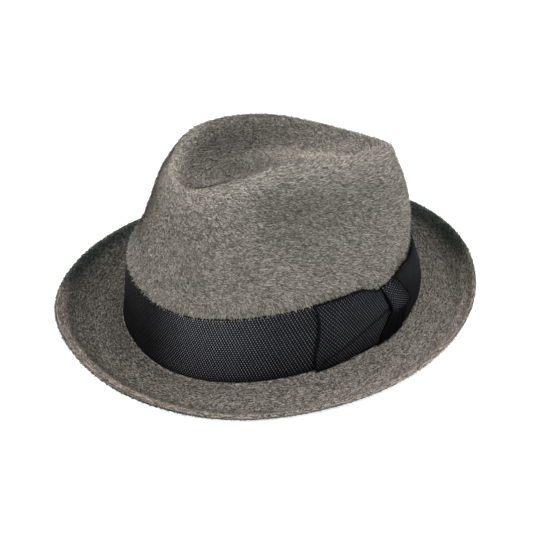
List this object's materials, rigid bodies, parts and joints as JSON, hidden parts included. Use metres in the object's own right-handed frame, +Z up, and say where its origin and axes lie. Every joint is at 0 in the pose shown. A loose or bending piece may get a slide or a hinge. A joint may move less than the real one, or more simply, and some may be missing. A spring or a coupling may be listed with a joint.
{
  "type": "fedora hat",
  "caption": "Felt fedora: teardrop crown pinched at both sides, short curled raw-edge brim, wide woven ribbon with a flat bow at the left; worn on the head",
  "frame": {"origin": "centre of the bounding box in plan, on the surface that the brim rests on", "axes": "+Z up through the crown, -Y to the front of the hat, +X to the wearer's left, where the bow is"},
  "size_m": [0.249, 0.2937, 0.1362],
  "materials": {
    "wool_felt": "matte",
    "woven_ribbon": "matte"
  },
  "bodies": {
    "root": {"felt_body": "wool_felt", "ribbon_band": "woven_ribbon", "bow_front_wing": "woven_ribbon", "bow_rear_wing": "woven_ribbon", "bow_centre_wrap": "woven_ribbon"}
  },
  "joints": []
}
